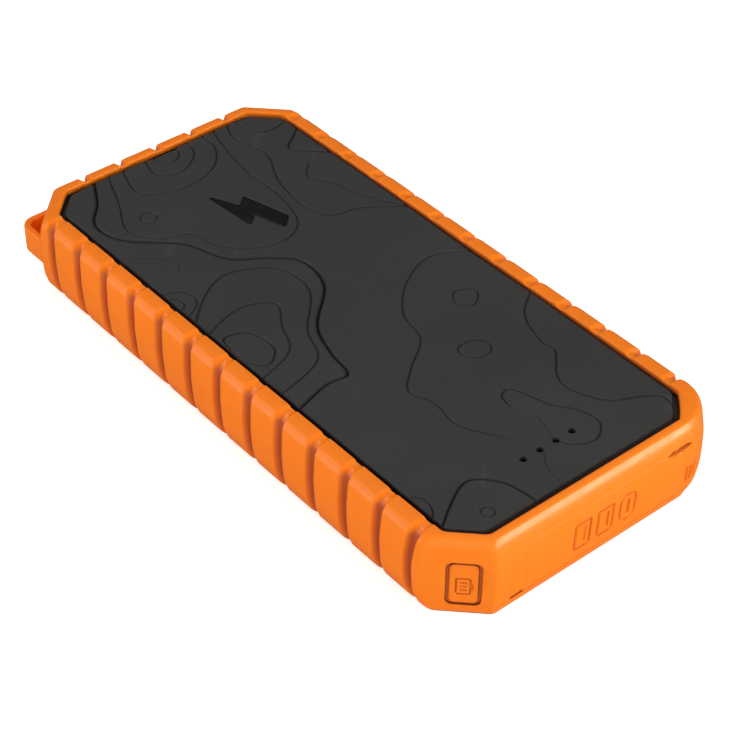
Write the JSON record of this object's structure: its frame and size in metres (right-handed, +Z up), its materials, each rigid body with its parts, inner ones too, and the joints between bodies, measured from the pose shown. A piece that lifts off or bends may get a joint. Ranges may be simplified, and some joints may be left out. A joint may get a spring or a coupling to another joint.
{
  "type": "power bank",
  "caption": "Rugged rechargeable power bank: flat sealed case in a ribbed rubber bumper, with a hinged door over its charging ports, a push button and a carry loop.",
  "frame": {"origin": "middle of the underside, on the plane the power bank rests on", "axes": "+X towards the end with the charging ports, +Z up through the patterned lid, +Y to the port door's free end"},
  "size_m": [0.1756, 0.0868, 0.0229],
  "materials": {
    "orange_rubber": "moulded TPU, satin, fine grain",
    "dark_plastic": "matt moulded, engraved contour lines",
    "black_plastic": "satin black",
    "black_rubber": "soft matt",
    "steel": "plated",
    "tongue_plastic": "satin",
    "board_green": "solder mask",
    "ferrite": "sintered",
    "led_lens": "clear",
    "clear_plastic": "smoked clear",
    "capacitor_can": "bright",
    "cell_foil": "laminate foil",
    "foam": "open foam",
    "nickel": "bright strip",
    "wire_red": "silicone sleeve",
    "wire_black": "silicone sleeve",
    "frame_plastic": "plain moulded"
  },
  "bodies": {
    "housing": {"bumper": "orange_rubber", "top_cover": "dark_plastic", "bottom_cover": "dark_plastic", "case_gasket": "black_rubber", "port_bezel": "black_plastic", "door_strap": "orange_rubber", "switch_body": "black_plastic", "main_board": "board_green", "usb_a_shell_1": "steel", "usb_a_tongue_1": "tongue_plastic", "usb_a_shell_2": "steel", "usb_a_tongue_2": "tongue_plastic", "usb_c_shell": "steel", "usb_c_tongue": "black_plastic", "led_1": "led_lens", "led_2": "led_lens", "led_3": "led_lens", "led_4": "led_lens", "light_guide": "clear_plastic", "inductor": "ferrite", "charge_controller": "black_plastic", "port_controller": "black_plastic", "mosfet_1": "black_plastic", "mosfet_2": "black_plastic", "capacitor_1": "capacitor_can", "capacitor_2": "capacitor_can", "capacitor_3": "capacitor_can", "battery_cell_lower": "cell_foil", "battery_cell_upper": "cell_foil", "foam_pad_lower": "foam", "foam_pad_middle": "foam", "foam_pad_upper": "foam", "battery_frame": "frame_plastic", "tab_strip_positive": "nickel", "tab_strip_negative": "nickel", "lead_positive": "wire_red", "lead_negative": "wire_black", "temperature_probe": "wire_black", "case_screw_1": "steel", "case_screw_2": "steel", "case_screw_3": "steel", "case_screw_4": "steel", "board_screw_1": "steel", "board_screw_2": "steel"},
    "door": {"port_door": "orange_rubber", "door_seal": "black_rubber"},
    "button": {"power_button": "orange_rubber"},
    "plunger": {"switch_plunger": "black_plastic"}
  },
  "joints": [
    {"name": "port_door_hinge", "type": "hinge", "parent": "housing", "child": "door", "pos_m": [0.0872, -0.0235, 0.00995], "axis": [0, 0, -1], "range_deg": [0, 120]},
    {"name": "power_button_press", "type": "slide", "parent": "housing", "child": "button", "axis": [-0.7071, 0.7071, 0], "range_m": [0, 0.0004]},
    {"name": "switch_plunger_press", "type": "slide", "parent": "housing", "child": "plunger", "axis": [-0.7071, 0.7071, 0], "range_m": [0, 0.0004]}
  ],
  "couplings": [
    {"joint": "switch_plunger_press", "follows": "power_button_press", "ratio": 1}
  ]
}
